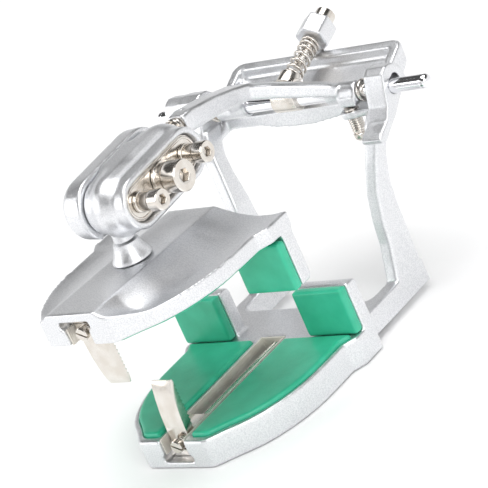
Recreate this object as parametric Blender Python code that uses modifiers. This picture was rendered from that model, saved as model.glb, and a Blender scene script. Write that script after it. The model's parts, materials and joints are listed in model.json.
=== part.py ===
"""Plasterless dental articulator: every real piece is a closed solid of its own.

Constants are in millimetres and the scene is in metres.  X is the hinge axis
(to the right), Y runs from the front of the tray to the back, Z is up and the
tray stands on Z = 0.  The frame's origin lies under the tray.
"""
import math

import bmesh
import bpy
from mathutils import Matrix, Vector

# ---------------------------------------------------------------- constants
MM = 0.001
ORIGIN_Y = 35.0                 # from the front of the tray to the frame's origin
SEG, SEG_S, SEG_XS = 32, 24, 16  # facets round a large, a middling and a small turned face
RUN = 0.05                      # radial clearance of a running fit
SNUG = 0.02                     # clearance of a fit that doesn't move
GAP = 0.3                       # clearance between pieces that only touch

TRAY_TOP = 10.3                 # thickness of the lower tray
TRAY_BACK = 69.2                # rear end of the tray
POST_IN, POST_OUT = 16.9, 37.79  # the rear posts, across
POST_Y = 63.6                   # their front face
POST_TOP = 27.2
FLOOR_Z = 2.0                   # underside of the rear floor and rails
PAD_TOP = 11.5                  # top of the silicone on the tray
PAD_POCKET = 7.8                # bottom of the pockets that hold it

SLOT_W, FOOT_W = 5.25, 6.4      # half widths of the T-slot, neck and foot
SLOT_END = 62.0
LEAD_Z, LEAD_R = 7.2, 1.6       # lead screw: height and radius

PIN = (115.3, 71.6)             # hinge pin centre (Y, Z)
PIN_R, PIN_HALF = 2.5, 60.0
SLIDE_DEG, SLIDE = 18.0, 2.5    # protrusion slots: angle above +Y, and travel

UP_BOT, UP_SIDE, UP_TOP = 56.2, 61.8, 66.9   # upper plate: underside, side wall, rib
UP_DY = -15.4                   # the upper plate sits this far in front of the lower
UP_SHORT = 2.5                  # and its posts are nearer its front by this
UP_PAD_BOT = 38.0               # lower end of the upper posts

BALL_R = 6.4
BALL_F = (19.2, 86.0)           # front ball centre (Y, Z)
BALL_B = (45.6, 88.1)           # rear ball centre
BLOCK_MID = ((BALL_F[0] + BALL_B[0]) / 2, (BALL_F[1] + BALL_B[1]) / 2)
NECK = Vector((0.0, 15.4, 2.9)).normalized()   # way of the rear ball's neck
SEAM_X = -2.5                   # plane between the two clamp shells
SHELL_L, SHELL_R = -12.0, 14.9  # ends of the clamp block
SCREW_S, SCREW_L = 2.0, 3.0     # radii of the small and the large clamp screws

LINE0 = (115.3, 75.2)           # start of the centric screw's line (Y, Z)
WAY = Vector((0.0, math.cos(math.radians(SLIDE_DEG)), math.sin(math.radians(SLIDE_DEG))))
LIFT = Vector((0.0, -WAY.z, WAY.y))
STOP_XY, STOP_R = (26.0, 113.4), 2.5         # vertical stop screw

SPRING_FROM, SPRING_TO = 5.0, 23.9           # ends of the centric spring on its line
SPRING_R, WIRE_R, COILS = 3.0, 0.48, 7.5

SIDES = ((1, "right"), (-1, "left"))
FINISHES = {                    # colour, metallic, roughness
    "casting": ((0.62, 0.63, 0.65), 1.0, 0.32),
    "nickel": ((0.66, 0.62, 0.58), 1.0, 0.2),
    "polished": ((0.72, 0.72, 0.74), 1.0, 0.12),
    "silicone": ((0.03, 0.42, 0.2), 0.0, 0.5),
}
PLANES = {"X": Matrix(((0, 0, 1), (1, 0, 0), (0, 1, 0))),
          "Y": Matrix(((1, 0, 0), (0, 0, -1), (0, 1, 0))),
          "Z": Matrix.Identity(3)}
COLLECTIONS = {}


# ---------------------------------------------------------------- helpers
def spot(x, y, z):
    """Point of the object, given in millimetres, in the scene's metres."""
    return Vector((x, y - ORIGIN_Y, z)) * MM


def put(name, mesh, tool=False):
    """New object for a piece, or for a tool that only shapes pieces."""
    mesh.shade_smooth()
    mesh.set_sharp_from_angle(angle=math.radians(35))
    ob = bpy.data.objects.new(name, mesh)
    COLLECTIONS["cutters" if tool else "parts"].objects.link(ob)
    if tool:
        ob.hide_render = True
        ob.display_type = "WIRE"
    return ob


def mesh_of(name, bm):
    """Mesh from bm, welded, with whole flat faces that point out."""
    bmesh.ops.remove_doubles(bm, verts=bm.verts, dist=1e-7)
    bmesh.ops.dissolve_limit(bm, angle_limit=1e-4, verts=bm.verts, edges=bm.edges)
    bmesh.ops.recalc_face_normals(bm, faces=bm.faces)
    mesh = bpy.data.meshes.new(name)
    bm.to_mesh(mesh)
    bm.free()
    return mesh


def from_curve(name, curve, matrix, tool=False):
    """Turn a curve into a welded mesh object, which modifiers can cut."""
    path = bpy.data.objects.new("path", curve)
    COLLECTIONS["cutters"].objects.link(path)
    bpy.context.view_layer.update()
    bm = bmesh.new()
    bm.from_mesh(bpy.data.meshes.new_from_object(path.evaluated_get(bpy.context.evaluated_depsgraph_get())))
    bpy.data.objects.remove(path)
    ob = put(name, mesh_of(name, bm), tool)
    ob.matrix_basis = matrix
    return ob


def aim(start, way):
    """Matrix that stands a local +Z at start, along way."""
    return Matrix.Translation(spot(*start)) @ Vector(way).to_track_quat("Z", "Y").to_matrix().to_4x4()


def loft(name, rings, tool=False):
    """Closed skin through rings of points with equal counts, ends capped."""
    bm = bmesh.new()
    loops = [[bm.verts.new(spot(*p)) for p in ring] for ring in rings]
    for low, high in zip(loops, loops[1:]):
        for i in range(len(low)):
            bm.faces.new((low[i - 1], low[i], high[i], high[i - 1]))
    bm.faces.new(loops[0][::-1])
    bm.faces.new(loops[-1])
    return put(name, mesh_of(name, bm), tool)


def prism(name, outline, axis, lo, hi, tool=False):
    """Flat outline in the plane across axis, run from lo to hi along it."""
    curve = bpy.data.curves.new(name, "CURVE")
    curve.dimensions = "2D"
    curve.fill_mode = "BOTH"
    curve.extrude = (hi - lo) / 2 * MM
    curve.resolution_u = 1
    curve.render_resolution_u = 0
    spline = curve.splines.new("POLY")
    spline.points.add(len(outline) - 1)
    for point, (a, b) in zip(spline.points, outline):
        point.co = (a * MM, b * MM, 0, 1)
    spline.use_cyclic_u = True
    middle = [(lo + hi) / 2 if axis == name_of_axis else 0 for name_of_axis in "XYZ"]
    return from_curve(name, curve, Matrix.Translation(spot(*middle)) @ PLANES[axis].to_4x4(), tool)


def box(name, xs, ys, zs, tool=False):
    """Block between pairs of X, Y and Z."""
    bm = bmesh.new()
    size = Matrix.Diagonal([(hi - lo) * MM for lo, hi in (xs, ys, zs)] + [1])
    middle = spot(*[(lo + hi) / 2 for lo, hi in (xs, ys, zs)])
    bmesh.ops.create_cube(bm, size=1, matrix=Matrix.Translation(middle) @ size)
    return put(name, mesh_of(name, bm), tool)


def rod(name, start, way, length, radius, seg=SEG_S, tool=False):
    """Cylinder from start along way; six facets make it a hexagon."""
    bm = bmesh.new()
    bmesh.ops.create_cone(bm, cap_ends=True, segments=seg, radius1=radius * MM, radius2=radius * MM,
                          depth=length * MM)
    ob = put(name, mesh_of(name, bm), tool)
    ob.matrix_basis = aim(Vector(start) + Vector(way).normalized() * length / 2, way)
    return ob


def ball(name, centre, radius, tool=False):
    bm = bmesh.new()
    bmesh.ops.create_uvsphere(bm, u_segments=SEG_S, v_segments=12, radius=radius * MM)
    ob = put(name, mesh_of(name, bm), tool)
    ob.matrix_basis = aim((0, *centre), (1, 0, 0))
    return ob


def turned(name, start, way, profile, seg=SEG_S, tool=False):
    """Solid of revolution along way: profile holds (distance, radius), and ends closed or as a ring."""
    ring = profile[0] == profile[-1]
    chain = profile[:-1] if ring else [(profile[0][0], 0)] + profile + [(profile[-1][0], 0)]
    chain = [p for i, p in enumerate(chain) if i == 0 or p != chain[i - 1]][::-1]
    bm = bmesh.new()
    verts = [bm.verts.new((r * MM, 0, t * MM)) for t, r in chain]
    for a, b in zip(verts, verts[1:]):
        bm.edges.new((a, b))
    if ring:
        bm.edges.new((verts[-1], verts[0]))
    ob = put(name, mesh_of(name, bm), tool)
    ob.matrix_basis = aim(start, way)
    turn = ob.modifiers.new("turn", "SCREW")
    turn.steps = turn.render_steps = seg
    turn.use_merge_vertices = True
    turn.merge_threshold = 1e-6
    turn.use_smooth_shade = True
    return ob


def boolean(target, tools, how):
    for tool in tools:
        mod = target.modifiers.new(tool.name, "BOOLEAN")
        mod.operation = how
        mod.solver = "EXACT"
        mod.object = tool
        tool.parent = target
        tool.matrix_parent_inverse = target.matrix_basis.inverted()


def add(target, *tools):
    boolean(target, tools, "UNION")


def cut(target, *tools):
    boolean(target, tools, "DIFFERENCE")


def soften(ob, width, segments=1, angle=40):
    mod = ob.modifiers.new("soften", "BEVEL")
    mod.width = width * MM
    mod.segments = segments
    mod.limit_method = "ANGLE"
    mod.angle_limit = math.radians(angle)
    return ob


def dress(ob, finish):
    """Give the piece a material of its own in one of the finishes."""
    colour, metallic, rough = FINISHES[finish]
    mat = bpy.data.materials.new(ob.name + "_" + finish)
    mat.use_nodes = True
    shader = mat.node_tree.nodes["Principled BSDF"]
    shader.inputs["Base Color"].default_value = (*colour, 1)
    shader.inputs["Metallic"].default_value = metallic
    shader.inputs["Roughness"].default_value = rough
    mat.diffuse_color = (*colour, 1)
    ob.data.materials.clear()
    ob.data.materials.append(mat)


def hang(name, at, pieces, parent=None):
    """Empty on a joint's axis, which carries the pieces that move there."""
    empty = bpy.data.objects.new(name, None)
    empty.location = spot(*at)
    empty.empty_display_size = 5 * MM
    COLLECTIONS["parts"].objects.link(empty)
    if parent:
        empty.parent = parent
        empty.matrix_parent_inverse = Matrix.Translation(-parent.location)
    for ob in pieces:
        ob.parent = empty
        ob.matrix_parent_inverse = Matrix.Translation(-spot(*at))
    return empty


def obround(c1, c2, r, steps=8):
    """Outline of two half circles round c1 and c2."""
    lean = math.atan2(c2[1] - c1[1], c2[0] - c1[0])
    out = []
    for centre, start in ((c2, lean - math.pi / 2), (c1, lean + math.pi / 2)):
        for k in range(steps + 1):
            a = start + math.pi * k / steps
            out.append((centre[0] + r * math.cos(a), centre[1] + r * math.sin(a)))
    return out


def smooth(points, steps):
    """Catmull-Rom curve through the points."""
    ends = [points[0]] + points + [points[-1]]
    out = []
    for p0, p1, p2, p3 in zip(ends, ends[1:], ends[2:], ends[3:]):
        for k in range(steps):
            t = k / steps
            out.append(tuple(0.5 * (2 * b + (c - a) * t + (2 * a - 5 * b + 4 * c - d) * t * t
                                    + (3 * b - a - 3 * c + d) * t ** 3) for a, b, c, d in zip(p0, p1, p2, p3)))
    return out + [points[-1]]


def side_of(outline, s):
    """The outline on the right (s = 1) or mirrored to the left."""
    return outline if s > 0 else [(-x, y) for x, y in outline][::-1]


def span(s, near, far):
    """The stretch of X from near to far on side s, in rising order."""
    return sorted((near * s, far * s))


def both(half):
    """Whole plan outline from its right half."""
    return half + [(-x, y) for x, y in half][::-1]


def shifted(outline, da, db=0.0, stretch=1.0):
    return [(a + da, b * stretch + db) for a, b in outline]


def inset(outline, d):
    """Outline moved in by d; the outline runs anticlockwise when its area is positive."""
    area = sum(a[0] * b[1] - b[0] * a[1] for a, b in zip(outline, outline[1:] + outline[:1]))
    out = []
    for i, here in enumerate(outline):
        before, after = Vector(outline[i - 1]), Vector(outline[(i + 1) % len(outline)])
        e1, e2 = (Vector(here) - before).normalized(), (after - Vector(here)).normalized()
        n1, n2 = Vector((-e1.y, e1.x)), Vector((-e2.y, e2.x))
        mid = (n1 + n2).normalized() * math.copysign(1, area)
        reach = d / max(0.5, abs(mid.dot(n1)))
        out.append((here[0] + mid.x * reach, here[1] + mid.y * reach))
    return out


def line(t):
    """Point on the centric screw's line, t from the hinge pin."""
    return Vector((0.0, *LINE0)) + WAY * t


TRAY_ARCH = smooth([(14.6, 0.7), (20.0, 6.5), (25.2, 11.6), (29.4, 18.3), (32.6, 26.5), (34.3, 34.0), (34.9, 42.0),
                    (35.0, 54.0)], 2)
TRAY_HALF = [(13.2, 0)] + TRAY_ARCH + [(37.8, 58.6), (37.8, TRAY_BACK)]
PAD_ARCH = smooth([(14.2, 3.7), (18.8, 8.6), (24.0, 13.6), (28.0, 19.9), (31.0, 27.2), (32.6, 34.6), (33.2, 42.5),
                   (33.3, 54.6)], 2)
PAD_HALF = [(6.9, 3.0), (12.6, 3.0)] + PAD_ARCH + [(35.2, 58.0), (35.2, 59.4), (6.9, 59.4)]
UP_STRETCH = 1 - UP_SHORT / TRAY_BACK   # the upper plate's outline against the tray's
UP_POST_DY = UP_DY - UP_SHORT
UP_FLIP = UP_BOT + TRAY_TOP     # heights z and UP_FLIP - z match in the two plates


# ---------------------------------------------------------------- lower frame
def upright(s, side):
    """Flared standard from the rear rail up to the ears: z, front, rear, inner and outer x."""
    levels = [(3.0, 90.8, 108.9, 27.75, 33.15), (9.0, 92.6, 108.9, 27.75, 33.15), (15.3, 94.8, 108.9, 27.75, 33.15),
              (23.2, 97.2, 109.0, 27.75, 33.2), (31.0, 98.2, 109.1, 27.8, 33.3), (40.7, 100.0, 109.2, 28.6, 34.1),
              (50.8, 102.6, 109.8, 31.0, 36.6), (56.5, 104.2, 111.2, 32.6, 38.4), (62.5, 105.9, 114.5, 34.0, 39.9),
              (66.5, 108.6, 118.0, 35.2, 41.0)]
    c = 0.8
    rings = []
    for z, front, rear, near, far in levels:
        ring = [(near + c, front), (far - c, front), (far, front + c), (far, rear - c), (far - c, rear),
                (near + c, rear), (near, rear - c), (near, front + c)]
        rings.append([(s * x, y, z) for x, y in ring])
    return loft("t_upright_" + side, rings, True)


def rear_plate():
    """Plate between the uprights that leans back, with rounded upper corners."""
    rings = []
    for x, pull in ((-37.3, 3.6), (-36.6, 1.8), (-35, 0.5), (-33, 0), (33, 0), (35, 0.5), (36.6, 1.8), (37.3, 3.6)):
        drop = pull * 0.43
        ring = [(118.7, 62.4), (120.4, 61.4), (139.4 - pull, 71.6 - drop), (139.8 - pull, 77.6 - drop),
                (138.2 - pull, 78.5 - drop), (121.8, 71.4), (118.7, 66.6)]
        rings.append([(x, y, z) for y, z in ring])
    return loft("t_plate", rings, True)


def plate_bulge():
    """Rounded swelling under the rear plate, between the ears."""
    edge = [(-30, 67.0), (-26, 64.6), (-20, 62.2), (-13, 60.8), (-4, 60.2), (5, 60.4), (13, 61.4), (21, 62.6),
            (30, 64.0), (30, 67.0)]
    front = [(x, 118.5, z) for x, z in edge]
    back = [(x * 0.92, 128.0, z + 4.2) for x, z in edge]
    return loft("t_bulge", [front, back], True)


def pad_pockets(target, tag, dy, stretch, z0, z1):
    for s, side in SIDES:
        outline = side_of(shifted(PAD_HALF, 0, dy, stretch), s)
        cut(target, prism("c_pocket_%s_%s" % (tag, side), outline, "Z", z0, z1, True))


def plug_pockets(target, tag, dy, z0, z1):
    for s, side in SIDES:
        cut(target, box("c_plug_%s_%s" % (tag, side), span(s, 19.2, 35.4), (63.0 + dy, 66.4 + dy), (z0, z1), True))


def lower_frame():
    frame = prism("lower_frame", both(TRAY_HALF), "Z", 0, TRAY_TOP)
    soften(frame, 0.6)
    floor = [(33.2, 66.0), (33.2, 109.0), (27.7, 109.0), (27.7, 85.6), (27.0, 83.6), (25.4, 82.0), (23.4, 81.2)]
    add(frame, prism("t_floor", both(floor), "Z", FLOOR_Z, TRAY_TOP - 0.01, True))
    post = [(POST_Y, 8), (69.19, 8), (69.19, 25.4), (68.8, 26.5), (67.7, 27.1), (66.8, POST_TOP), (POST_Y, POST_TOP)]
    ear = [(98.6, 60.2), (99.4, 58.6), (101.6, 58.0), (105.6, 60.2), (110.6, 62.6), (114.6, 65.2), (119.6, 68.6),
           (123.6, 71.2), (122.0, 76.0), (119.4, 78.2), (115.2, 78.9), (112.2, 77.4), (110.4, 73.0), (108.6, 67.6),
           (105.6, 63.6), (101.0, 61.8)]
    cheek = [(112.0, 61.0), (120.0, 61.4), (135.5, 69.8), (136.2, 76.9), (122.2, 71.4), (119.3, 75.6), (119.2, 66.5)]
    for s, side in SIDES:
        add(frame, prism("t_post_" + side, post, "X", *span(s, POST_IN, POST_OUT), True), upright(s, side),
            prism("t_ear_" + side, ear, "X", *span(s, 36.6, 45.0), True),
            prism("t_cheek_" + side, cheek, "X", *span(s, 33.8, 37.3), True))
    # the left ear carries a wider seat for the pin
    seat = [(109.4, 69.6), (110.9, 75.0), (112.6, 77.6), (115.4, 78.7), (119.2, 78.0), (121.0, 75.6), (120.4, 71.0),
            (117.0, 68.2), (112.0, 67.4)]
    add(frame, prism("t_ear_seat", seat, "X", -52.5, -44.0, True), rear_plate(), plate_bulge())
    dish = [(118.0, 66.0), (135.4, 73.4), (135.4, 83.0), (118.0, 83.0)]
    cut(frame, soften(prism("c_dish", dish, "X", -33.4, 33.4, True), 1.2, 2))
    lug = [(21.9, 118.9), (21.9, 113.2), (22.6, 111.4), (24.2, 110.0), (27.8, 110.0), (29.6, 110.9), (37.0, 111.6),
           (37.0, 119.2)]
    add(frame, prism("t_stop_lug", lug, "Z", 63.7, 66.3, True),
        rod("t_boss", line(24.0), WAY, 8.8, 6.3, 6, True))
    cut(frame, rod("c_centric", line(22), WAY, 14, SCREW_S + RUN, SEG_S, True),
        rod("c_stop", (*STOP_XY, 58), (0, 0, 1), 10, STOP_R + RUN, SEG_S, True))
    back = (PIN[0] + SLIDE * WAY.y, PIN[1] + SLIDE * WAY.z)
    cut(frame, prism("c_pin_slot", obround(PIN, back, PIN_R + RUN, 12), "X", -60, 60, True),
        box("c_slot_neck", (-SLOT_W, SLOT_W), (-1, SLOT_END), (4.7, 12), True),
        box("c_slot_foot", (-FOOT_W, FOOT_W), (-1, SLOT_END), (2.2, 4.8), True),
        rod("c_lead", (0, SLOT_END - 1, LEAD_Z), (0, 1, 0), 4.5, LEAD_R + RUN, SEG_XS, True))
    pad_pockets(frame, "low", 0, 1, PAD_POCKET, 12)
    plug_pockets(frame, "low", 0, 12.2, 25.0)
    return frame


# ---------------------------------------------------------------- silicone
def floor_pad(name, s, dy, stretch, seat, face):
    """Flat silicone pad with a chamfered rim round its face."""
    foot = side_of(inset(shifted(PAD_HALF, 0, dy, stretch), 0.08), s)
    rim = inset(foot, 0.5)
    chamfer = 0.6 * math.copysign(1, face - seat)
    rings = [[(x, y, seat) for x, y in foot], [(x, y, face - chamfer) for x, y in foot],
             [(x, y, face) for x, y in rim]]
    return loft(name, rings)


def post_pad(name, s, dy, bottom, top, plug_bottom, plug_top):
    """Silicone block on the front of a post, with the plug that holds it there."""
    pad = soften(box(name, span(s, 17.0, 37.6), (59.8 + dy, 63.55 + dy), (bottom, top)), 0.7, 2)
    add(pad, box("t_plug_" + name, span(s, 19.3, 35.3), (63.0 + dy, 66.3 + dy), (plug_bottom, plug_top), True))
    return pad


# ---------------------------------------------------------------- slot hardware
def slot_liner(name, end):
    """U channel lining the neck of the slot, closed at the rear."""
    w, t = SLOT_W - 0.03, 0.55
    low, high = 4.85, TRAY_TOP + 0.25
    liner = box(name, (-w, w), (1.0, end - 0.03), (low, high))
    cut(liner, box("c_" + name, (t - w, w - t), (0.0, end - 0.03 - t), (low - 1, high + 1), True),
        rod("c_b_" + name, (0, end - 2, LEAD_Z), (0, 1, 0), 4, LEAD_R + RUN, SEG_XS, True))
    return liner


def lead_screw(name, end):
    screw = turned(name, (0, 1.2, LEAD_Z), (0, 1, 0),
                   [(0, 2.0), (0.4, 2.3), (1.9, 2.3), (2.1, LEAD_R), (end + 1.6, LEAD_R), (end + 2.2, 1.1)], 20)
    cut(screw, box("c_driver_" + name, (-3, 3), (0, 1.9), (LEAD_Z - 0.35, LEAD_Z + 0.35), True))
    return screw


def slider_nut(name):
    nut = box(name, (-4.5, 4.5), (6.8, 17.0), (4.5, 9.6))
    add(nut, box("t_foot_" + name, (-6.2, 6.2), (4.0, 20.0), (2.4, 4.6), True))
    cut(nut, rod("c_bore_" + name, (0, 0, LEAD_Z), (0, 1, 0), 40, LEAD_R + RUN, 20, True))
    return nut


def clamp_finger(name):
    """Upright channel with a bowed front, and notches along the rear of its flanges."""
    notch, pitch, count = 0.75, 1.4, 10
    side = [(4.35, 4.9), (8.1, 4.9), (8.1, 9.9), (8.3, 12.0)]
    for k in range(count):
        z = 12.0 + k * pitch
        side += [(8.1, z + 0.9), (8.05 + notch, z + 1.0)]
    side += [(8.6, 27.2), (8.2, 28.5), (7.5, 28.6), (6.5, 26.2), (5.7, 22.4), (5.0, 17.6), (4.6, 12.0)]
    finger = prism(name, side, "X", -4.1, 4.1)
    hollow = [(5.4, 10.6), (12, 10.6), (12, 30), (8.6, 27.6), (7.3, 25.2), (6.5, 21.6), (5.9, 17.0), (5.6, 12.8)]
    cut(finger, prism("c_hollow_" + name, hollow, "X", -3.3, 3.3, True),
        box("c_front_" + name, (-5, 5), (6.6, 12), (4.0, 9.9), True),
        rod("c_bore_" + name, (0, 0, LEAD_Z), (0, 1, 0), 40, LEAD_R + RUN + SNUG, 20, True))
    return finger


def turn_over(piece):
    """Turn a piece made for the lower slot about Y so that it serves the upper plate."""
    move = Matrix.Translation(Vector((0, UP_DY, UP_FLIP)) * MM) @ Matrix.Rotation(math.pi, 4, "Y")
    piece.matrix_basis = move @ piece.matrix_basis
    return piece


# ---------------------------------------------------------------- upper plate
def half_width(y):
    """Half width of the upper plate, y behind its front."""
    outline = shifted(TRAY_HALF, 0, 0, UP_STRETCH)
    for (xa, ya), (xb, yb) in zip(outline, outline[1:]):
        if ya <= y <= yb and yb > ya:
            return xa + (xb - xa) * (y - ya) / (yb - ya)
    return outline[-1][0] if y > outline[0][1] else outline[0][0]


def upper_plate():
    """Plate with a flat rib along its middle and a hollow on each side of it."""
    rib, steps, fade, fall = 10.0, 9, 9.0, 1.4
    back = TRAY_BACK - UP_SHORT + 0.8
    stations = [0.0, 0.7] + [2.4 + 2.6 * k for k in range(21)] + [56.4, 61.0, back]
    rings = []
    for y in stations:
        w = half_width(y)
        front = max(0.0, 1 - y / fade)
        side = UP_SIDE + (UP_TOP - fall - UP_SIDE) * front
        top = UP_TOP + 0.5 - fall * y / back
        ring = [(-w, UP_BOT), (w, UP_BOT), (w, side)]
        for k in range(1, steps):
            t = k / steps
            dip = math.sin(math.pi * t) * 2.1 * (1 - front) * min(1, (w - rib) / 14)
            ring.append((w + (rib - w) * t, side + (top - side) * t ** 1.35 - dip))
        ring.append((rib, top))
        ring += [(-x, z) for x, z in ring[2:][::-1]]
        rings.append([(x, y + UP_DY, z) for x, z in ring])
    plate = soften(loft("upper_plate", rings), 0.5, 1, 55)
    foot = UP_PAD_BOT
    post = [(POST_Y, UP_BOT + 3), (69.2, UP_BOT + 3), (69.2, foot + 1.8), (68.8, foot + 0.7), (67.7, foot + 0.1),
            (66.8, foot), (POST_Y, foot)]
    for s, side in SIDES:
        add(plate, prism("t_up_post_" + side, shifted(post, UP_POST_DY), "X", *span(s, POST_IN, POST_OUT), True))
    end = SLOT_END + UP_POST_DY
    cut(plate, box("c_up_neck", (-SLOT_W, SLOT_W), (UP_DY - 1, end), (UP_FLIP - 12, UP_FLIP - 4.7), True),
        box("c_up_foot", (-FOOT_W, FOOT_W), (UP_DY - 1, end), (UP_FLIP - 4.8, UP_FLIP - 2.2), True),
        rod("c_up_lead", (0, end - 1, UP_FLIP - LEAD_Z), (0, 1, 0), 4.5, LEAD_R + RUN, SEG_XS, True))
    pad_pockets(plate, "up", UP_DY, UP_STRETCH, UP_BOT - 2, UP_BOT + 2.4)
    plug_pockets(plate, "up", UP_POST_DY, 41.0, 54.0)
    return plate


# ---------------------------------------------------------------- clamp block
def shell(name, sections):
    """Half of the block: obround sections of (x, radius) round the two balls."""
    ob = loft(name, [[(x, y, z) for y, z in obround(BALL_F, BALL_B, r, 18)] for x, r in sections])
    for centre, tag in ((BALL_F, "front"), (BALL_B, "rear")):
        cut(ob, ball("c_ball_%s_%s" % (tag, name), centre, BALL_R + RUN, True))
    cut(ob, turned("c_front_neck_" + name, (0, *BALL_F), (0, 0, -1), [(2.0, 4.4), (5.0, 4.7), (12.0, 6.6)],
                   SEG_S, True),
        turned("c_rear_neck_" + name, (0, *BALL_B), NECK, [(2.0, 3.9), (5.0, 4.2), (12.0, 5.8)], SEG_S, True))
    return ob


def end_relief(centre, out, tag):
    """Scoop that wraps round one end of the block, deepest at the seam and fading over the flats."""
    u = Vector((BALL_B[0] - BALL_F[0], BALL_B[1] - BALL_F[1])).normalized() * out
    rings = []
    for x, depth in ((-2.5, 1.5), (-1.0, 1.4), (0.6, 1.1), (2.0, 0.7), (3.2, 0.2), (4.0, -0.3)):
        r = 10.5 - depth
        flat = [(t, r + 1.9 * (t / 8) ** 2) for t in (-8, -6, -4, -2)]
        arc = [(r * math.cos(a), r * math.sin(a)) for a in (math.radians(90 - 10 * k) for k in range(19))]
        ring = flat + arc + [(t, -h) for t, h in flat[::-1]] + [(-8, -14), (14, -14), (14, 14), (-8, 14)]
        rings.append([(x, centre[0] + a * u.x - b * u.y, centre[1] + a * u.y + b * u.x) for a, b in ring])
    return loft("c_relief_" + tag, rings, True)


def shell_right():
    """Right shell, with a recess for the plate and bores for the three screws."""
    seam = SEAM_X + GAP / 2
    ob = shell("clamp_shell_right", [(seam, 10.1), (seam + 0.55, 10.5), (6.0, 10.5), (9.0, 9.6), (10.4, 8.7),
                                     (SHELL_R - 0.5, 8.7), (SHELL_R, 8.3)])
    for centre, out, tag in ((BALL_F, -1, "front"), (BALL_B, 1, "rear")):
        cut(ob, end_relief(centre, out, tag),
            rod("c_set_" + tag, (5.0, *centre), (1, 0, 0), 12, SCREW_S + RUN, 20, True))
    cut(ob, rod("c_mid_right", (-4, *BLOCK_MID), (1, 0, 0), 22, SCREW_L + RUN, SEG_S, True),
        prism("c_recess", obround(BALL_F, BALL_B, 6.6), "X", 12.1, 16.0, True))
    return ob


def shell_left():
    seam = SEAM_X - GAP / 2
    ob = shell("clamp_shell_left", [(SHELL_L, 7.6), (SHELL_L + 0.8, 9.0), (SHELL_L + 2.6, 10.1), (seam - 0.55, 10.5),
                                    (seam, 10.1)])
    cut(ob, rod("c_mid_left", (-9.3, *BLOCK_MID), (1, 0, 0), 10, SCREW_L + RUN, SEG_S, True))
    return ob


def clamp_plate():
    plate = soften(prism("clamp_plate", obround(BALL_F, BALL_B, 6.3), "X", 12.15, 13.3), 0.3, 1, 60)
    for centre, r, tag in ((BALL_F, SCREW_S, "front"), (BALL_B, SCREW_S, "rear"), (BLOCK_MID, SCREW_L, "mid")):
        cut(plate, rod("c_plate_" + tag, (10, *centre), (1, 0, 0), 6, r + RUN, 20, True))
    return plate


def set_screw(name, centre):
    """Small cap screw on a plain collar: it bears on a ball."""
    screw = turned(name, (6.8, *centre), (1, 0, 0),
                   [(0, 1.5), (0.5, SCREW_S), (6.7, SCREW_S), (6.7, 3.5), (7.9, 3.5), (7.9, 3.1), (12.2, 3.1),
                    (12.2, 3.5), (15.9, 3.5), (16.4, 3.1)])
    cut(screw, rod("c_hex_" + name, (20.8, *centre), (1, 0, 0), 4, 1.75, 6, True))
    return screw


def center_screw():
    """Large cap screw that draws the two shells together."""
    screw = turned("clamp_center_screw", (-9.0, *BLOCK_MID), (1, 0, 0),
                   [(0, 2.6), (0.5, SCREW_L), (22.5, SCREW_L), (22.5, 5.6), (23.7, 5.6), (23.7, 4.9), (26.0, 4.9),
                    (26.0, 5.2), (31.5, 5.2),
                    (32.0, 4.8)], SEG)
    cut(screw, rod("c_hex_center", (20.0, *BLOCK_MID), (1, 0, 0), 5, 2.6, 6, True))
    return screw


def front_stud():
    """Ball with a flared neck that stands on the upper plate."""
    stud = ball("front_ball_stud", BALL_F, BALL_R)
    h = BALL_F[1] - UP_TOP - 0.1
    add(stud, turned("t_front_neck", (0, *BALL_F), (0, 0, -1),
                     [(3.0, 3.4), (h - 8.6, 3.4), (h - 7.4, 4.1), (h - 5.5, 4.3), (h - 2.0, 6.2), (h, 6.5)],
                     SEG_S, True))
    return stud


def rear_stud():
    """Ball with a collared neck that turns in the arm."""
    stud = ball("rear_ball_stud", BALL_B, BALL_R)
    add(stud, turned("t_rear_neck", (0, *BALL_B), NECK,
                     [(3.0, 3.0), (14.0, 3.0), (14.0, 3.8), (15.0, 3.8), (15.0, 2.5), (21.6, 2.5)], SEG_S, True))
    return stud


# ---------------------------------------------------------------- upper arm
def section(centre, half_w, half_h, across, c=0.9):
    """Chamfered rectangle round a point: across is its plan direction, and its other side is Z."""
    ring = [(c - half_w, -half_h), (half_w - c, -half_h), (half_w, c - half_h), (half_w, half_h - c),
            (half_w - c, half_h), (c - half_w, half_h), (-half_w, half_h - c), (-half_w, c - half_h)]
    side = Vector((*across, 0)).normalized()
    return [Vector(centre) + side * u + Vector((0, 0, v)) for u, v in ring]


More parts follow.
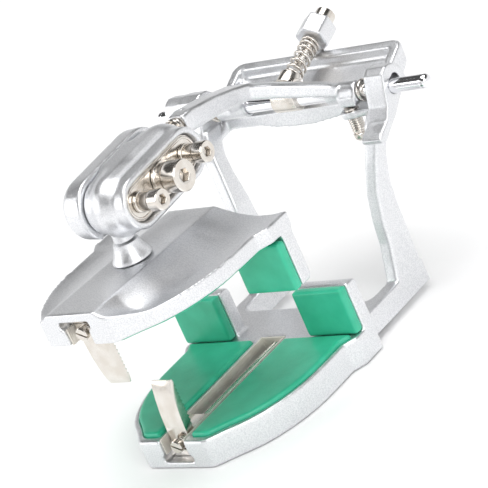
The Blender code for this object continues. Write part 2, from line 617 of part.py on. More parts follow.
def upper_arm():
    """Y-shaped casting from the rear ball's neck to the two hubs on the pin."""
    bar = [(61.5, 91.1, 3.6, 3.3), (66.0, 90.9, 4.1, 3.7), (78.0, 89.3, 4.4, 3.4), (88.0, 87.3, 5.0, 3.1),
           (95.0, 85.6, 6.4, 2.9), (98.5, 84.4, 4.5, 2.6)]
    arm = loft("upper_arm", [section((0, y, z), w, h, (1, 0)) for y, z, w, h in bar])
    for s, side in SIDES:
        branch = [((2.6, 93.0, 86.2), 2.6, 2.9), ((9.0, 100.0, 82.6), 2.6, 2.9), ((15.5, 107.0, 78.2), 2.6, 2.8),
                  ((21.4, 113.0, 74.4), 2.8, 2.7), ((23.6, 115.6, 72.4), 2.2, 2.2)]
        rings = [section((s * x, y, z), w, h, (0.74, -0.67 * s)) for (x, y, z), w, h in branch]
        add(arm, loft("t_branch_" + side, rings, True),
            turned("t_hub_" + side, (17.6 * s, *PIN), (s, 0, 0), [(0, 3.3), (0.4, 3.7), (13.2, 3.7), (13.6, 3.4)],
                   SEG_S, True))
    foot = [(111.0, 67.7), (114.8, 67.7), (116.6, 68.6), (115.6, 72.4), (112.6, 73.0), (111.0, 71.0)]
    add(arm, prism("t_stop_foot", foot, "X", 23.6, 30.4, True))
    cut(arm, rod("c_hub_bore", (-40, *PIN), (1, 0, 0), 80, PIN_R + RUN, SEG, True),
        rod("c_stud", Vector((0, *BALL_B)) + NECK * 12, NECK, 9.9, 2.5 + RUN, SEG_S, True))
    return arm


# ---------------------------------------------------------------- hinge and screws
def hinge_axle():
    return turned("hinge_axle", (-PIN_HALF, *PIN), (1, 0, 0),
                  [(0, 0), (0.25, 1.4), (1.0, 2.25), (1.6, PIN_R), (118.4, PIN_R), (119.0, 2.25), (119.75, 1.4),
                   (120, 0)], SEG)


def axle_collar(s, side):
    bore, rim, width, c = PIN_R + SNUG, 3.9, 2.1, 0.3
    profile = [(0, bore), (0, rim - c), (c, rim), (width - c, rim), (width, rim - c), (width, bore), (0, bore)]
    return turned("axle_collar_" + side, (31.35 * s, *PIN), (s, 0, 0), profile)


def spring_seat():
    """Block on the pin with a cup for the front end of the spring."""
    seat = soften(prism("spring_seat", obround(PIN, (PIN[0] + 1.0, PIN[1] + 3.2), 3.9), "X", -5.0, 5.0), 0.5, 1, 60)
    add(seat, turned("t_cup", line(1.5), WAY, [(0, 4.2), (4.6, 4.4)], SEG_S, True))
    cut(seat, rod("c_cup", line(4.9), WAY, 3, 3.7, SEG_S, True),
        rod("c_seat_bore", (-10, *PIN), (1, 0, 0), 20, PIN_R + SNUG, SEG, True))
    return seat


def centric_spring():
    """Round-wire compression spring whose end turns lie closer together."""
    curve = bpy.data.curves.new("centric_spring", "CURVE")
    curve.dimensions = "3D"
    curve.bevel_depth = WIRE_R * MM
    curve.bevel_resolution = 2
    curve.resolution_u = 1
    curve.render_resolution_u = 0
    curve.use_fill_caps = True
    spline = curve.splines.new("POLY")
    count = int(COILS * 12)
    spline.points.add(count)
    length = SPRING_TO - SPRING_FROM - 2 * WIRE_R
    for i in range(count + 1):
        f = i / count
        a = 2 * math.pi * COILS * f
        t = SPRING_FROM + WIRE_R + length * (f - 0.06 * math.sin(2 * math.pi * f))
        point = line(t) + (Vector((1, 0, 0)) * math.cos(a) + LIFT * math.sin(a)) * SPRING_R
        spline.points[i].co = (*spot(*point), 1)
    return from_curve("centric_spring", curve, Matrix.Identity(4))


def centric_screw():
    screw = turned("centric_screw", line(11.0), WAY,
                   [(0, 1.5), (0.5, SCREW_S), (22.6, SCREW_S), (22.6, 3.2), (23.0, 3.6), (26.4, 3.6), (26.8, 3.2)])
    cut(screw, rod("c_hex_centric", line(35.6), WAY, 5, 1.75, 6, True))
    return screw


def stop_screw():
    """Vertical stop screw with a waist and a rounded foot."""
    return turned("vertical_stop_screw", (*STOP_XY, 67.4), (0, 0, -1),
                  [(0, 1.9), (0.5, STOP_R), (8.6, STOP_R), (8.9, 2.0), (9.6, 2.0), (9.9, 2.6), (11.2, 2.6),
                   (12.2, 2.1), (12.8, 0)])


# ---------------------------------------------------------------- build
def slot_set(plate, end, place):
    """Liner, screw, nut and finger of one slot, placed by the function place."""
    liner = place(slot_liner(plate + "_slot_liner", end))
    screw = place(lead_screw(plate + "_lead_screw", end))
    slider = [place(slider_nut(plate + "_slider_nut")), place(clamp_finger(plate + "_clamp_finger"))]
    return liner, screw, slider


def main():
    for ob in list(bpy.data.objects):
        bpy.data.objects.remove(ob)
    for key, name in (("parts", "dental_articulator"), ("cutters", "cutters")):
        COLLECTIONS[key] = bpy.data.collections.new(name)
        bpy.context.scene.collection.children.link(COLLECTIONS[key])

    frame, plate, arm = lower_frame(), upper_plate(), upper_arm()
    shells = [shell_right(), shell_left()]
    upper_pads = []
    for s, side in SIDES:
        low = [floor_pad("lower_pad_" + side, s, 0, 1, PAD_POCKET + 0.05, PAD_TOP),
               post_pad("lower_post_pad_" + side, s, 0, TRAY_TOP + GAP, POST_TOP + 0.1, 12.3, 24.9)]
        up = [floor_pad("upper_pad_" + side, s, UP_DY, UP_STRETCH, UP_BOT + 2.35, UP_BOT - 1.2),
              post_pad("upper_post_pad_" + side, s, UP_POST_DY, UP_PAD_BOT - 0.1, UP_BOT - 1.3, 41.1, 53.9)]
        upper_pads += up
        for pad in low + up:
            dress(pad, "silicone")
    studs = [front_stud(), rear_stud()]
    for casting in [frame, plate, arm, studs[0]] + shells:
        dress(casting, "casting")

    low_liner, low_screw, low_slider = slot_set("lower", SLOT_END, lambda piece: piece)
    up_liner, up_screw, up_slider = slot_set("upper", SLOT_END - UP_SHORT, turn_over)
    clamp = {"center": center_screw(), "front": set_screw("clamp_front_screw", BALL_F),
             "rear": set_screw("clamp_rear_screw", BALL_B)}
    cover, axle, seat = clamp_plate(), hinge_axle(), spring_seat()
    collars = [axle_collar(s, side) for s, side in SIDES]
    spring, centric, stop = centric_spring(), centric_screw(), stop_screw()
    hardware = [low_liner, low_screw, up_liner, up_screw, cover, seat, spring, centric, stop]
    for piece in hardware + low_slider + up_slider + studs[1:] + collars + list(clamp.values()):
        dress(piece, "nickel")
    dress(axle, "polished")

    hang("lower_slider_axis", (0, 0, LEAD_Z), low_slider)
    hang("lower_lead_screw_axis", (0, 0, LEAD_Z), [low_screw])
    hang("centric_screw_axis", line(0), [centric])
    hang("stop_screw_axis", (*STOP_XY, 0), [stop])
    hinge = hang("hinge_axis", (0, *PIN), [axle, seat] + collars)
    swing = hang("arm_axis", (0, *PIN), [arm], hinge)
    roll = hang("rear_ball_roll", (0, *BALL_B), [studs[1]], swing)
    pitch = hang("rear_ball_pitch", (0, *BALL_B), shells + [cover], roll)
    for key, at in (("center", BLOCK_MID), ("front", BALL_F), ("rear", BALL_B)):
        hang("clamp_%s_screw_axis" % key, (0, *at), [clamp[key]], pitch)
    tilt = hang("front_ball_pitch", (0, *BALL_F), [studs[0]], pitch)
    yaw = hang("front_ball_yaw", (0, *BALL_F), [plate, up_liner] + upper_pads, tilt)
    hang("upper_slider_axis", (0, UP_DY, UP_FLIP - LEAD_Z), up_slider, yaw)
    hang("upper_lead_screw_axis", (0, UP_DY, UP_FLIP - LEAD_Z), [up_screw], yaw)


main()
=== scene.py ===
"""Looks of the plasterless dental articulator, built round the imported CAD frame.

Castings are the CAD solids with the soft edges of a plated die casting, turned
hardware is remade with threads and sockets, and the silicone is rounded.  All
lengths are metres; the ones given in millimetres are multiplied by MM.
"""
import json
import math

import bmesh
import bpy
from mathutils import Matrix, Vector

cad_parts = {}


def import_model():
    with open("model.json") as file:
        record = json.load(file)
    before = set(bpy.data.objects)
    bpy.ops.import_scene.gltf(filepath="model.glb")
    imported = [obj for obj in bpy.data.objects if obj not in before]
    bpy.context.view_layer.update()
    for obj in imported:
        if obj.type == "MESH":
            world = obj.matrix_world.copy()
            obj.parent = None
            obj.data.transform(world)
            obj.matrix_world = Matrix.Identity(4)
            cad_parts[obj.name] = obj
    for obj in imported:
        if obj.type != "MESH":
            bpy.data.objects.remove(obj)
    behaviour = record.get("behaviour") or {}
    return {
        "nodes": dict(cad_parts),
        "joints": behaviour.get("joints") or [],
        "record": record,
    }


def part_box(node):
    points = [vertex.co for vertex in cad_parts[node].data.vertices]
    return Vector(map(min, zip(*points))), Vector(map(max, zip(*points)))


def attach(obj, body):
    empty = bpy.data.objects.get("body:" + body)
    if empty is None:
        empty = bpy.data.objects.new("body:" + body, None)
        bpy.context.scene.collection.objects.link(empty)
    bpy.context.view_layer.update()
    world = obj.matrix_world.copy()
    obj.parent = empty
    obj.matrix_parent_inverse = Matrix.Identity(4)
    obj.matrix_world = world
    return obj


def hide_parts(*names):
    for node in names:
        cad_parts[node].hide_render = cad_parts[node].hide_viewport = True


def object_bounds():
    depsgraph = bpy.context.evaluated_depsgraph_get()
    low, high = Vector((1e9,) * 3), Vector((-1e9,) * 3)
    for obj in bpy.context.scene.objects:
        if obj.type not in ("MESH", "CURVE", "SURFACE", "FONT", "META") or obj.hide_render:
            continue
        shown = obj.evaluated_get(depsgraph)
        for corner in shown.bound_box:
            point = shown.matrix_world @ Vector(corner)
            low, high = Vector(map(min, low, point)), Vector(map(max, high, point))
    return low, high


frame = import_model()
cad_box = [list(corner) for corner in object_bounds()]

MM = 0.001
X, Y, Z = Vector((1, 0, 0)), Vector((0, 1, 0)), Vector((0, 0, 1))
JOINTS = {joint["name"]: joint for joint in frame["joints"]}
SLOPE = Vector(JOINTS["protrusion_slide"]["axis"])      # way of the centric screw
NECK = Vector(JOINTS["rear_ball_roll"]["axis"])         # way of the rear ball's neck
VOXEL = 0.42 * MM


# ---------------------------------------------------------------- frame helpers
def body_of(node):
    return next(name for name, nodes in frame["record"]["behaviour"]["bodies"].items() if node in nodes)


def stand_for(piece, node):
    """The piece takes the node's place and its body."""
    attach(piece, body_of(node))
    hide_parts(node)
    return piece


def new_object(name, mesh):
    ob = bpy.data.objects.new(name, mesh)
    bpy.context.scene.collection.objects.link(ob)
    return ob


def welded_copy(node):
    """The node's solid with its facets joined into whole flat faces."""
    bm = bmesh.new()
    bm.from_mesh(frame["nodes"][node].data)
    bmesh.ops.remove_doubles(bm, verts=bm.verts, dist=1e-6)
    bmesh.ops.dissolve_limit(bm, angle_limit=math.radians(0.5), verts=bm.verts, edges=bm.edges)
    bmesh.ops.recalc_face_normals(bm, faces=bm.faces)
    mesh = bpy.data.meshes.new(node + "_shape")
    bm.to_mesh(mesh)
    bm.free()
    return new_object(node + "_shape", mesh)


def applied(ob, name):
    """A new object with the modifiers of ob made real."""
    bpy.context.view_layer.update()
    mesh = bpy.data.meshes.new_from_object(ob.evaluated_get(bpy.context.evaluated_depsgraph_get()))
    bpy.data.objects.remove(ob)
    mesh.name = name
    return new_object(name, mesh)


def axis_of(node, way):
    """Start and length of a turned node along way, from its own solid."""
    way = way.normalized()
    side = way.orthogonal().normalized()
    up = way.cross(side)
    points = [v.co for v in frame["nodes"][node].data.vertices]

    def middle(direction):
        reach = [p.dot(direction) for p in points]
        return (min(reach) + max(reach)) / 2

    low, high = min(p.dot(way) for p in points), max(p.dot(way) for p in points)
    return way * low + side * middle(side) + up * middle(up), high - low


# ---------------------------------------------------------------- castings and soft pieces
def smooth_mesh(ob, rounds, factor=0.5):
    bm = bmesh.new()
    bm.from_mesh(ob.data)
    for _ in range(rounds):
        bmesh.ops.smooth_vert(bm, verts=bm.verts, factor=factor,
                              use_axis_x=True, use_axis_y=True, use_axis_z=True)
    bm.to_mesh(ob.data)
    bm.free()


def casting(node, rounds=5, voxel=VOXEL):
    """The node's solid with its edges and corners rounded all over."""
    ob = welded_copy(node)
    remesh = ob.modifiers.new("remesh", "REMESH")
    remesh.mode = "VOXEL"
    remesh.voxel_size = voxel
    remesh.use_smooth_shade = True
    piece = applied(ob, node + "_casting")
    smooth_mesh(piece, rounds)
    piece.data.shade_smooth()
    piece.data.materials.clear()
    piece.data.materials.append(MATERIALS["casting"])
    return stand_for(piece, node)


def machined(node, width, look="nickel_steel", segments=3, angle=30):
    """The node's solid with every sharp edge broken."""
    ob = welded_copy(node)
    bevel = ob.modifiers.new("bevel", "BEVEL")
    bevel.width = width
    bevel.segments = segments
    bevel.limit_method = "ANGLE"
    bevel.angle_limit = math.radians(angle)
    bevel.use_clamp_overlap = True
    piece = applied(ob, node + "_finished")
    piece.data.shade_smooth()
    piece.data.set_sharp_from_angle(angle=math.radians(40))
    piece.data.materials.clear()
    piece.data.materials.append(MATERIALS[look])
    return stand_for(piece, node)


def silicone(node):
    """Silicone block: remeshed finely so that its rims turn over softly."""
    ob = welded_copy(node)
    remesh = ob.modifiers.new("remesh", "REMESH")
    remesh.mode = "VOXEL"
    remesh.voxel_size = 0.36 * MM
    piece = applied(ob, node + "_silicone")
    smooth_mesh(piece, 7)
    piece.data.shade_smooth()
    piece.data.materials.clear()
    piece.data.materials.append(MATERIALS["green_silicone"])
    return stand_for(piece, node)


# ---------------------------------------------------------------- turned pieces
def circle(t, r):
    """Round section at t, in millimetres."""
    return lambda a: (t, r)


def hexagon(t, flat):
    """Six-sided section at t, flat being half its width across flats."""
    return lambda a: (t, flat / math.cos(a % (math.pi / 3) - math.pi / 6))


def thread(t0, t1, r, pitch=0.8, depth=0.3):
    """Sections of a helical thread, run out at both ends."""
    steps = int((t1 - t0) / pitch * 6)

    def section(t):
        fade = min(1, (t - t0) / pitch, (t1 - t) / pitch)

        def at(a):
            phase = (t / pitch - a / (2 * math.pi)) % 1
            return t, r - depth * fade * abs(2 * phase - 1)
        return at
    return [section(t0 + (t1 - t0) * k / steps) for k in range(steps + 1)]


def socket(t, flat, depth):
    """Sections of a hexagon socket sunk from t towards its floor."""
    return [hexagon(t, flat + 0.15), hexagon(t - 0.15, flat), hexagon(t - depth, flat),
            circle(t - depth - 0.4, flat * 0.5),
            circle(t - depth - 0.5, 0)]


def turned(name, start, way, sections, count=48):
    """Closed skin through round, hexagonal or threaded sections on one axis."""
    way = way.normalized()
    side = way.orthogonal().normalized()
    up = way.cross(side)
    bm = bmesh.new()
    loops = []
    for section in sections:
        loop = []
        for k in range(count):
            a = 2 * math.pi * k / count
            t, r = section(a)
            loop.append(bm.verts.new(start + (way * t + (side * math.cos(a) + up * math.sin(a)) * r) * MM))
        loops.append(loop)
    for low, high in zip(loops, loops[1:]):
        for k in range(count):
            bm.faces.new((low[k - 1], low[k], high[k], high[k - 1]))
    bm.faces.new(loops[0][::-1])
    bm.faces.new(loops[-1])
    bmesh.ops.remove_doubles(bm, verts=bm.verts, dist=1e-7)
    bmesh.ops.recalc_face_normals(bm, faces=bm.faces)
    mesh = bpy.data.meshes.new(name)
    bm.to_mesh(mesh)
    bm.free()
    mesh.shade_smooth()
    mesh.set_sharp_from_angle(angle=math.radians(38))
    return new_object(name, mesh)


def finish(piece, node, slot):
    piece.data.materials.clear()
    piece.data.materials.append(MATERIALS[slot])
    return stand_for(piece, node)


def edge(t, r, out, c=0.15):
    """Two sections that break an edge at t: out = 1 at the far end of a step, -1 at its near end."""
    pair = [circle(t - c, r), circle(t, r - c)]
    return pair if out > 0 else [circle(t, r - c), circle(t + c, r)]


def clamp_center_screw():
    start = axis_of("clamp_center_screw", X)[0]
    sections = [circle(0, 2.4)] + thread(0.4, 21.0, 3.0, 1.0, 0.35) + [circle(22.5, 3.0)]
    sections += edge(22.5, 5.6, -1) + edge(23.65, 5.6, 1)
    sections += [circle(23.7, 4.9), circle(25.5, 4.9), circle(25.6, 4.5), circle(26.0, 4.5)]
    sections += edge(26.0, 5.2, -1, 0.3) + edge(31.9, 5.2, 1, 0.35)
    sections += [circle(31.9, 3.2)] + socket(31.75, 2.0, 2.6)
    screw = turned("clamp_center_screw_detail", start, X, sections, 60)
    return finish(screw, "clamp_center_screw", "nickel_steel")


def clamp_plate():
    """Cover plate with a raised bead all round, inside its edge."""
    plate = machined("clamp_plate", 0.12 * MM)
    front, rear = axis_of("clamp_front_screw", X)[0], axis_of("clamp_rear_screw", X)[0]
    ahead = (rear - front) * Vector((0, 1, 1))
    ahead.normalize()
    side = X.cross(ahead)
    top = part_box("clamp_plate")[1].x - 0.1 * MM
    path = []
    for centre, first in ((front, math.pi / 2), (rear, -math.pi / 2)):
        for k in range(17):
            a = first + math.pi * k / 16
            path.append((Vector((top, centre.y, centre.z)), ahead * math.cos(a) + side * math.sin(a)))
    bm = bmesh.new()
    bm.from_mesh(plate.data)
    loops = []
    for centre, out in path:
        loops.append([bm.verts.new(centre + (out * (5.3 + 0.5 * math.cos(b)) + X * 0.45 * math.sin(b)) * MM)
                      for b in (2 * math.pi * j / 10 for j in range(10))])
    for i in range(len(loops)):
        for j in range(10):
            bm.faces.new((loops[i - 1][j - 1], loops[i][j - 1], loops[i][j], loops[i - 1][j])).smooth = True
    bmesh.ops.recalc_face_normals(bm, faces=bm.faces)
    bm.to_mesh(plate.data)
    bm.free()


def set_screw(node):
    start = axis_of(node, X)[0]
    sections = [circle(0, 1.4)] + thread(0.3, 6.5, 2.0, 0.7, 0.25) + [circle(6.7, 2.0)]
    sections += edge(6.7, 3.5, -1) + edge(7.85, 3.5, 1)
    sections += [circle(7.9, 3.1), circle(11.7, 3.1), circle(11.8, 2.7), circle(12.2, 2.7)]
    sections += edge(12.2, 3.5, -1, 0.2) + edge(16.35, 3.5, 1, 0.3)
    sections += [circle(16.35, 2.3)] + socket(16.25, 1.5, 2.2)
    return finish(turned(node + "_detail", start, X, sections, 48), node, "nickel_steel")


def lead_screw(node, way):
    start, length = axis_of(node, way)
    end = length / MM
    sections = edge(0, 2.3, -1, 0.3) + edge(1.9, 2.3, 1) + [circle(2.1, 1.35)]
    sections += thread(2.4, end - 0.6, 1.6, 0.8, 0.32) + [circle(end, 1.1)]
    piece = turned(node + "_detail", start, way, sections, 30)
    slot = bmesh.new()
    place = Matrix.Translation(start) @ way.to_track_quat("Z", "Y").to_matrix().to_4x4()
    bmesh.ops.create_cube(slot, size=1, matrix=place @ Matrix.Rotation(math.radians(24), 4, "Z")
                          @ Matrix.Diagonal((6 * MM, 0.6 * MM, 1.8 * MM, 1)))
    mesh = bpy.data.meshes.new("driver_slot")
    slot.to_mesh(mesh)
    slot.free()
    tool = new_object("driver_slot", mesh)
    cut = piece.modifiers.new("slot", "BOOLEAN")
    cut.operation, cut.solver, cut.object = "DIFFERENCE", "EXACT", tool
    piece = applied(piece, node + "_detail")
    bpy.data.objects.remove(tool)
    piece.data.set_sharp_from_angle(angle=math.radians(38))
    return finish(piece, node, "nickel_steel")


def centric_screw():
    start = axis_of("centric_screw", SLOPE)[0]
    sections = [circle(0, 1.5)] + thread(0.5, 22.0, 2.0, 0.7, 0.28) + [circle(22.6, 2.0)]
    sections += edge(22.6, 3.6, -1, 0.35) + edge(26.8, 3.6, 1, 0.5)
    sections += [circle(26.8, 2.2)] + socket(26.7, 1.5, 2.0)
    return finish(turned("centric_screw_detail", start, SLOPE, sections, 48), "centric_screw", "nickel_steel")


def stop_screw():
    start = axis_of("vertical_stop_screw", -Z)[0]
    sections = [circle(0, 0), circle(0, 1.7)] + thread(0.4, 8.8, 2.5, 0.8, 0.35)
    sections += [circle(9.0, 1.9), circle(9.6, 1.9)] + edge(9.6, 2.6, -1, 0.2) + [circle(11.0, 2.6)]
    sections += [circle(11.0 + 1.8 * math.sin(a), 2.6 * math.cos(a))
                 for a in (0.3, 0.6, 0.9, 1.2, 1.4, math.pi / 2)]
    screw = turned("vertical_stop_screw_detail", start, -Z, sections, 48)
    return finish(screw, "vertical_stop_screw", "nickel_steel")


def ball_profile(centre_t, r, first, last, steps=18):
    """Sections of a ball from angle first to last, measured from its near pole."""
    angles = [first + (last - first) * k / steps for k in range(steps + 1)]
    return [circle(centre_t - r * math.cos(a), r * math.sin(a)) for a in angles]


def front_stud():
    """Ball whose neck flares into a foot on the plate, turned from below."""
    low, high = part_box("front_ball_stud")
    h = (high.z - low.z) / MM
    r = 6.4
    start = Vector((0, (low.y + high.y) / 2, low.z))
    foot = [(0, 0), (0, 6.5), (0.3, 6.75), (0.7, 6.7), (1.5, 6.2), (3.0, 5.3), (4.6, 4.65),
            (5.6, 4.35), (6.2, 4.3), (6.5, 4.0),
            (6.9, 3.5), (8.0, 3.4), (h - 2 * r + 0.9, 3.4)]
    sections = [circle(t, s) for t, s in foot]
    sections += ball_profile(h - r, r, math.asin(3.4 / r), math.pi)
    return finish(turned("front_ball_stud_detail", start, Z, sections, 56), "front_ball_stud", "casting")


def rear_stud():
    start = axis_of("rear_ball_stud", NECK)[0]
    r = 6.4
    sections = ball_profile(r, r, 0, math.pi - math.asin(3.0 / r))
    sections += [circle(r + 14.0, 3.0)] + edge(r + 14.0, 3.8, -1) + edge(r + 15.0, 3.8, 1)
    sections += [circle(r + 15.0, 2.5), circle(r + 21.4, 2.5), circle(r + 21.6, 2.3)]
    stud = turned("rear_ball_stud_detail", start, NECK, sections, 48)
    return finish(stud, "rear_ball_stud", "nickel_steel")


def hinge_axle():
    """Polished pin with domed ends and a fine shoulder before each dome."""
    start, length = axis_of("hinge_axle", X)
    end, r = length / MM, 2.5
    dome = [(1.9 * (1 - math.cos(a)), r * math.sin(a)) for a in (0, 0.25, 0.5, 0.75, 1.0, 1.25, math.pi / 2)]
    sections = [circle(t, s) for t, s in dome]
    sections += [circle(2.6, r), circle(2.7, r - 0.12), circle(2.95, r - 0.12), circle(3.05, r)]
    sections += [circle(t, r) for t in (20, 40, 60, 80, 100, end - 3.05)]
    sections += [circle(end - 2.95, r - 0.12), circle(end - 2.7, r - 0.12), circle(end - 2.6, r)]
    sections += [circle(end - t, s) for t, s in dome[::-1]]
    return finish(turned("hinge_axle_detail", start, X, sections, 64), "hinge_axle", "polished_pin")


def collar(node, way):
    """Thin rounded ring on the pin, with a low sleeve towards the middle."""
    start, length = axis_of(node, way)
    w, inner, low, outer = length / MM, 2.52, 2.95, 3.9
    ring = [(0, inner), (0, low - 0.1), (0.1, low), (0.8, low), (0.8, outer - 0.4), (0.9, outer - 0.12),
            (1.1, outer), (w - 0.3, outer), (w - 0.1, outer - 0.12), (w, outer - 0.4), (w, inner)]
    bm = bmesh.new()
    count = 48
    loops = [[bm.verts.new(start + Vector((t * way.x, r * math.cos(a), r * math.sin(a))) * MM)
              for a in (2 * math.pi * k / count for k in range(count))] for t, r in ring]
    for i in range(len(loops)):
        for k in range(count):
            bm.faces.new((loops[i - 1][k - 1], loops[i - 1][k], loops[i][k], loops[i][k - 1]))
    bmesh.ops.recalc_face_normals(bm, faces=bm.faces)
    mesh = bpy.data.meshes.new(node + "_detail")
    bm.to_mesh(mesh)
    bm.free()
    mesh.shade_smooth()
    mesh.set_sharp_from_angle(angle=math.radians(38))
    return finish(new_object(node + "_detail", mesh), node, "nickel_steel")


def centric_spring():
    """Round wire coiled along the slope, with closer end turns."""
    start, length = axis_of("centric_spring", SLOPE)
    wire, radius, coils, per_turn = 0.48 * MM, 3.0 * MM, 7.5, 40
    up = Vector((0, -SLOPE.z, SLOPE.y))
    curve = bpy.data.curves.new("centric_spring_detail", "CURVE")
    curve.dimensions = "3D"
    curve.bevel_depth = wire
    curve.bevel_resolution = 5
    curve.use_fill_caps = True
    spline = curve.splines.new("POLY")
    count = int(coils * per_turn)
    spline.points.add(count)
    for k in range(count + 1):
        f = k / count
        a = 2 * math.pi * coils * f
        t = wire + (length - 2 * wire) * (f - 0.06 * math.sin(2 * math.pi * f))
        point = start + SLOPE * t + (X * math.cos(a) + up * math.sin(a)) * radius
        spline.points[k].co = (*point, 1)
    ob = bpy.data.objects.new("centric_spring_path", curve)
    bpy.context.scene.collection.objects.link(ob)
    piece = applied(ob, "centric_spring_detail")
    piece.data.shade_smooth()
    return finish(piece, "centric_spring", "nickel_steel")


# ---------------------------------------------------------------- materials
def nodes_of(name, colour, metallic, rough):
    mat = bpy.data.materials.new(name)
    mat.use_nodes = True
    tree = mat.node_tree
    shader = tree.nodes["Principled BSDF"]
    shader.inputs["Base Color"].default_value = (*colour, 1)
    shader.inputs["Metallic"].default_value = metallic
    shader.inputs["Roughness"].default_value = rough
    place = tree.nodes.new("ShaderNodeTexCoord")
    return mat, tree, shader, place


def noise(tree, place, scale, detail=3, stretch=(1, 1, 1)):
    mapping = tree.nodes.new("ShaderNodeMapping")
    mapping.inputs["Scale"].default_value = stretch
    tree.links.new(place.outputs["Object"], mapping.inputs["Vector"])
    tex = tree.nodes.new("ShaderNodeTexNoise")
    tex.inputs["Scale"].default_value = scale
    tex.inputs["Detail"].default_value = detail
    tree.links.new(mapping.outputs["Vector"], tex.inputs["Vector"])
    return tex.outputs["Fac"]


def ramp(tree, value, low, high, first, last):
    """Colour or grey from first to last as value goes from low to high."""
    node = tree.nodes.new("ShaderNodeValToRGB")
    node.color_ramp.elements[0].position = low
    node.color_ramp.elements[1].position = high
    node.color_ramp.elements[0].color = (*first, 1) if isinstance(first, tuple) else (first, first, first, 1)
    node.color_ramp.elements[1].color = (*last, 1) if isinstance(last, tuple) else (last, last, last, 1)
    tree.links.new(value, node.inputs["Fac"])
    return node.outputs["Color"]


def bump(tree, shader, heights):
    """Chain of bumps: (height, strength, distance) from coarse to fine."""
    last = None
    for height, strength, distance in heights:
        node = tree.nodes.new("ShaderNodeBump")
        node.inputs["Strength"].default_value = strength
        node.inputs["Distance"].default_value = distance
        tree.links.new(height, node.inputs["Height"])
        if last:
            tree.links.new(last, node.inputs["Normal"])
        last = node.outputs["Normal"]
    tree.links.new(last, shader.inputs["Normal"])


def casting_material():
    """Satin plating over a die casting: slight orange peel, fine grain and patchy polish."""
    mat, tree, shader, place = nodes_of("satin_casting", (0.71, 0.715, 0.73), 1.0, 0.4)
    patches = noise(tree, place, 90, 4)
    peel = noise(tree, place, 900, 2)
    grain = noise(tree, place, 2400, 2)
    tree.links.new(ramp(tree, patches, 0.3, 0.7, 0.29, 0.42), shader.inputs["Roughness"])
    colour = ramp(tree, grain, 0.36, 0.64, (0.68, 0.69, 0.71), (0.83, 0.835, 0.85))
    tree.links.new(colour, shader.inputs["Base Color"])
    bump(tree, shader, [(peel, 0.35, 0.12 * MM), (grain, 0.7, 0.08 * MM)])
    return mat


def nickel_material():
    """Bright nickel plate with a warm tone and fine turning marks."""
    mat, tree, shader, place = nodes_of("nickel_steel", (0.71, 0.67, 0.62), 1.0, 0.2)
    smudge = noise(tree, place, 260, 3)
    marks = noise(tree, place, 3200, 2)
    tree.links.new(ramp(tree, smudge, 0.3, 0.7, 0.14, 0.27), shader.inputs["Roughness"])
    colour = ramp(tree, smudge, 0.35, 0.7, (0.66, 0.615, 0.56), (0.76, 0.73, 0.69))
    tree.links.new(colour, shader.inputs["Base Color"])
    bump(tree, shader, [(marks, 0.12, 0.02 * MM)])
    return mat


def pin_material():
    """Ground and polished pin."""
    mat, tree, shader, place = nodes_of("polished_pin", (0.86, 0.86, 0.88), 1.0, 0.1)
    marks = noise(tree, place, 900, 3, (0.12, 1, 1))
    tree.links.new(ramp(tree, marks, 0.3, 0.7, 0.06, 0.16), shader.inputs["Roughness"])
    bump(tree, shader, [(marks, 0.06, 0.02 * MM)])
    return mat


def silicone_material():
    """Soft green silicone, slightly cloudy, with a fine moulded grain."""
    mat, tree, shader, place = nodes_of("green_silicone", (0.04, 0.47, 0.29), 0.0, 0.34)
    cloud = noise(tree, place, 120, 3)
    grain = noise(tree, place, 1800, 2)
    colour = ramp(tree, cloud, 0.3, 0.75, (0.028, 0.42, 0.25), (0.048, 0.52, 0.33))
    tree.links.new(colour, shader.inputs["Base Color"])
    tree.links.new(ramp(tree, grain, 0.3, 0.7, 0.28, 0.4), shader.inputs["Roughness"])
    shader.inputs["Subsurface Weight"].default_value = 0.15
    shader.inputs["Subsurface Radius"].default_value = (0.3, 1.0, 0.5)
    shader.inputs["Subsurface Scale"].default_value = 2 * MM
    bump(tree, shader, [(grain, 0.12, 0.03 * MM)])
    return mat


def liner_material():
    """Dull pressed liner, finely ribbed across its length."""
    mat, tree, shader, place = nodes_of("ribbed_liner", (0.74, 0.71, 0.66), 0.75, 0.5)
    ribs = tree.nodes.new("ShaderNodeTexWave")
    ribs.wave_type, ribs.bands_direction = "BANDS", "Y"
    ribs.inputs["Scale"].default_value = 420
    ribs.inputs["Distortion"].default_value = 0.3
    tree.links.new(place.outputs["Object"], ribs.inputs["Vector"])
    worn = noise(tree, place, 150, 3)
    colour = ramp(tree, worn, 0.3, 0.7, (0.66, 0.62, 0.56), (0.8, 0.77, 0.72))
    tree.links.new(colour, shader.inputs["Base Color"])
    bump(tree, shader, [(ribs.outputs["Fac"], 0.5, 0.12 * MM)])
    return mat


MATERIALS = {
    "liner": liner_material(),
    "casting": casting_material(),
    "nickel_steel": nickel_material(),
    "polished_pin": pin_material(),
    "green_silicone": silicone_material(),
}


# ---------------------------------------------------------------- stage
def camera():
    data = bpy.data.cameras.new("camera")
    data.lens = 177
    data.sensor_width = 36
    data.clip_start, data.clip_end = 0.01, 20
    ob = bpy.data.objects.new("camera", data)
    bpy.context.scene.collection.objects.link(ob)
    right, up = Vector((0.7519, 0.5375, -0.3817)), Vector((0.0707, 0.5099, 0.8573))
    back = Vector((0.6555, -0.6716, 0.3454))
    turn = Matrix((right, up, back)).transposed().to_4x4()
    ob.matrix_world = Matrix.Translation((0.5196, -0.5002, 0.3172)) @ turn
    bpy.context.scene.camera = ob


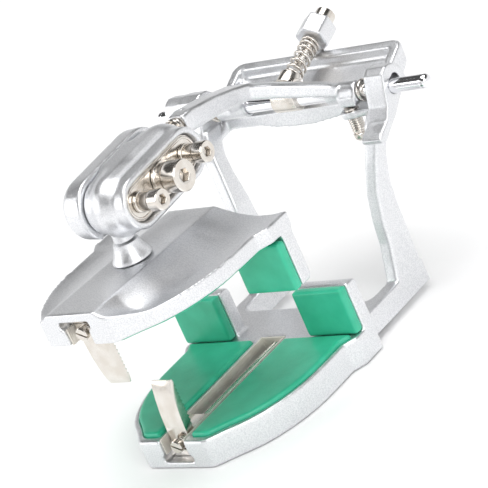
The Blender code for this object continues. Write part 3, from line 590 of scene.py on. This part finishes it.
def floor():
    mesh = bpy.data.meshes.new("floor")
    bm = bmesh.new()
    bmesh.ops.create_grid(bm, x_segments=1, y_segments=1, size=8)
    bm.to_mesh(mesh)
    bm.free()
    ob = new_object("floor", mesh)
    ob.location.z = cad_box[0][2] - 0.0002
    mesh.materials.append(nodes_of("floor", (0.95, 0.95, 0.95), 0.0, 0.8)[0])


def softbox(name, where, size, power, aim=(0, 0.02, 0.04)):
    light = bpy.data.lights.new(name, "AREA")
    light.shape = "RECTANGLE"
    light.size, light.size_y = size
    light.energy = power
    ob = bpy.data.objects.new(name, light)
    ob.location = where
    ob.rotation_euler = (Vector(aim) - Vector(where)).to_track_quat("-Z", "Y").to_euler()
    bpy.context.scene.collection.objects.link(ob)


def overhead():
    """Large soft ceiling light that reaches the whole floor evenly."""
    light = bpy.data.lights.new("overhead", "SUN")
    light.energy = 2.4
    light.angle = 1.05
    bpy.context.scene.collection.objects.link(bpy.data.objects.new("overhead", light))


def world():
    """Room that is white all round low down, dark from mid height up, a little darker behind."""
    w = bpy.data.worlds.new("studio")
    bpy.context.scene.world = w
    w.use_nodes = True
    tree = w.node_tree
    place = tree.nodes.new("ShaderNodeTexCoord")
    split = tree.nodes.new("ShaderNodeSeparateXYZ")
    tree.links.new(place.outputs["Generated"], split.inputs["Vector"])
    back = tree.nodes.new("ShaderNodeVectorMath")
    back.operation = "DOT_PRODUCT"
    back.inputs[1].default_value = (-0.62, 0.68, 0.4)
    tree.links.new(place.outputs["Generated"], back.inputs[0])
    tone = ramp(tree, back.outputs["Value"], 0.5, 1.0, 1.0, 0.82)
    height = ramp(tree, split.outputs["Z"], 0.34, 0.54, 1.0, 0.08)
    mix = tree.nodes.new("ShaderNodeMix")
    mix.data_type, mix.blend_type = "RGBA", "MULTIPLY"
    mix.inputs["Factor"].default_value = 1
    tree.links.new(tone, mix.inputs["A"])
    tree.links.new(height, mix.inputs["B"])
    tree.links.new(mix.outputs["Result"], tree.nodes["Background"].inputs["Color"])
    tree.nodes["Background"].inputs["Strength"].default_value = 1.0


# ---------------------------------------------------------------- build
camera()
for cast_node in ("lower_frame", "upper_plate", "upper_arm"):
    casting(cast_node)
for cast_node in ("clamp_shell_right", "clamp_shell_left"):
    casting(cast_node, 10, 0.34 * MM)
for plate in ("lower", "upper"):
    for side in ("right", "left"):
        silicone(plate + "_pad_" + side)
        silicone(plate + "_post_pad_" + side)
    machined(plate + "_slot_liner", 0.12 * MM, "liner")
    machined(plate + "_slider_nut", 0.2 * MM)
    machined(plate + "_clamp_finger", 0.14 * MM)
    lead_screw(plate + "_lead_screw", Y)
clamp_plate()
machined("spring_seat", 0.25 * MM)
clamp_center_screw()
set_screw("clamp_front_screw")
set_screw("clamp_rear_screw")
centric_screw()
stop_screw()
front_stud()
rear_stud()
hinge_axle()
collar("axle_collar_right", X)
collar("axle_collar_left", -X)
centric_spring()

floor()
world()
softbox("key", (0.9, -0.5, 0.75), (0.7, 0.7), 6)
softbox("fill", (-0.9, -0.6, 0.5), (0.8, 0.6), 3)
overhead()
bpy.context.scene.view_settings.view_transform = "Standard"
